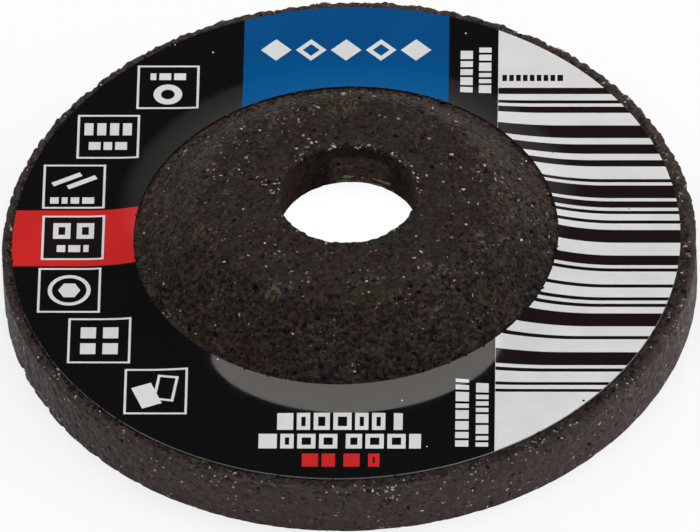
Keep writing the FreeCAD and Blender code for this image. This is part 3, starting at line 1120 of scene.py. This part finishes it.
def makeCrystals():
    bm = bmesh.new()
    draw = random.Random(crystals["seed"] + 1)
    spread = crystals["large"] - crystals["small"]
    for place, normal in crystalSpots():
        size = crystals["small"] + spread * draw.random() ** crystals["fewLarge"]
        centre = place - normal * size * crystals["sunk"]
        addPebble(bm, draw, centre, size, draw.choice(crystals["kinds"]))
    materials = [makeCrystalMaterial(name, colour) for name, colour in crystals["colours"].items()]
    finishPiece(bm, "crystals", materials)


def makeCrumbs():
    bm = bmesh.new()
    draw = random.Random(crumbs["seed"])
    spread = crumbs["large"] - crumbs["small"]
    for edge, count in ((label["outer"], crumbs["outside"]), (label["inner"], crumbs["inside"])):
        outside = edge > disc["sweepStart"]
        for _ in range(count):
            angle = draw.uniform(0, 2 * math.pi)
            if outside and draw.random() < crumbs["leftShare"]:
                angle = math.radians(draw.gauss(*crumbs["left"]))
            size = crumbs["small"] + spread * draw.random() ** 2
            radius = edge + (draw.uniform(0.02, 0.3) if outside else draw.uniform(-0.14, 0.0))
            x = label["shift"][0] + radius * math.cos(angle)
            y = label["shift"][1] + radius * math.sin(angle)
            height = topHeight(math.hypot(x, y)) + label["thickness"] * 0.7
            addPebble(bm, draw, Vector((x, y, height)), size, 0)
    finishPiece(bm, "crumbs", [hubGrain], smooth=True)


makeCrystals()
makeCrumbs()
print("crystals done")


# Floor and light

studio = {
    "floorSize": 3.0,
    "floorColour": (0.86, 0.86, 0.86, 1),
    "floorGlow": 0.75,
    "lampHeight": 0.5,
    "lampRadius": 0.283,
    "lampShift": (0.008, -0.004),
    "lampGlow": 2.6,
    "sideHeight": 0.24,
    "sideReach": 0.45,
    "sideSize": (0.42, 0.30),
    "sidePanels": (("rightPanel", 10, 3.3), ("leftPanel", 147, 1.75)),  # angle in degrees, glow
    "room": ((0.25, 0.5), (0.57, 0.27), (0.63, 0.015)),  # sine of the height above the floor, grey
}


def makeFloor():
    bm = bmesh.new()
    bmesh.ops.create_grid(bm, x_segments=1, y_segments=1, size=studio["floorSize"])
    mesh = bpy.data.meshes.new("floor")
    bm.to_mesh(mesh)
    bm.free()
    floor = bpy.data.objects.new("floor", mesh)
    scene.collection.objects.link(floor)
    nodes = NodeTree("floorPaint")
    nodes.shader.inputs["Base Color"].default_value = studio["floorColour"]
    nodes.shader.inputs["Roughness"].default_value = 0.9
    path = nodes.node("ShaderNodeLightPath")
    seen = nodes.maths("MAXIMUM", path.outputs["Is Camera Ray"],
                       nodes.maths("MAXIMUM", path.outputs["Is Glossy Ray"],
                                   path.outputs["Is Transmission Ray"]))
    # what camera, gloss and glass see is white: wholly in the bore, where this painted light hides the
    # disc's shadow, and outside the disc with enough of the lit floor left in it for the shadow
    x, y, _ = nodes.axes(nodes.place())
    whiteness = nodes.band(nodes.fromAxis(x, y), 8.0, 14.0, 1.0, studio["floorGlow"])
    glow = nodes.node("ShaderNodeEmission")
    blend = nodes.node("ShaderNodeMixShader")
    nodes.link(nodes.times(seen, whiteness), blend.inputs[0])
    nodes.link(nodes.shader.outputs[0], blend.inputs[1])
    nodes.link(glow.outputs[0], blend.inputs[2])
    nodes.link(blend.outputs[0], nodes.tree.nodes["Material Output"].inputs["Surface"])
    mesh.materials.append(nodes.material)


def makeLamp(name, shape, size, place, glow):
    # an evenly glowing panel that faces the disc; its power follows from its size
    lamp = bpy.data.lights.new(name, "AREA")
    lamp.shape = shape
    lamp.size = size[0]
    area = math.pi * size[0] ** 2 / 4
    if shape == "RECTANGLE":
        lamp.size_y = size[1]
        area = size[0] * size[1]
    lamp.energy = glow * math.pi * area
    panel = bpy.data.objects.new(name, lamp)
    panel.visible_glossy = shape == "DISK"
    turn = (Vector(place) - Vector((0, 0, 0.005))).to_track_quat("Z", "Y")
    panel.matrix_world = Matrix.Translation(place) @ turn.to_matrix().to_4x4()
    scene.collection.objects.link(panel)


def makeLamps():
    shift = studio["lampShift"]
    across = 2 * studio["lampRadius"]
    makeLamp("softbox", "DISK", (across, across), (shift[0], shift[1], studio["lampHeight"]),
             studio["lampGlow"])
    for name, angle, glow in studio["sidePanels"]:
        turn = math.radians(angle)
        reach = studio["sideReach"]
        makeLamp(name, "RECTANGLE", studio["sideSize"],
                 (reach * math.cos(turn), reach * math.sin(turn), studio["sideHeight"]), glow)


def makeRoom():
    # pale walls up to about 37 degrees, dark above them
    world = bpy.data.worlds.new("room")
    world.use_nodes = True
    tree = world.node_tree
    coords = tree.nodes.new("ShaderNodeTexCoord")
    split = tree.nodes.new("ShaderNodeSeparateXYZ")
    ramp = tree.nodes.new("ShaderNodeValToRGB")
    tree.links.new(coords.outputs["Generated"], split.inputs[0])
    tree.links.new(split.outputs["Z"], ramp.inputs[0])
    stops = ramp.color_ramp.elements
    levels = studio["room"]
    stops[0].position, stops[1].position = levels[0][0], levels[1][0]
    stops.new(levels[2][0])
    for stop, (_, level) in zip(stops, levels):
        stop.color = (level, level, level, 1)
    tree.links.new(ramp.outputs["Color"], tree.nodes["Background"].inputs["Color"])
    scene.world = world


makeFloor()
makeLamps()
makeRoom()
scene.view_settings.view_transform = "Standard"
print("studio ready")
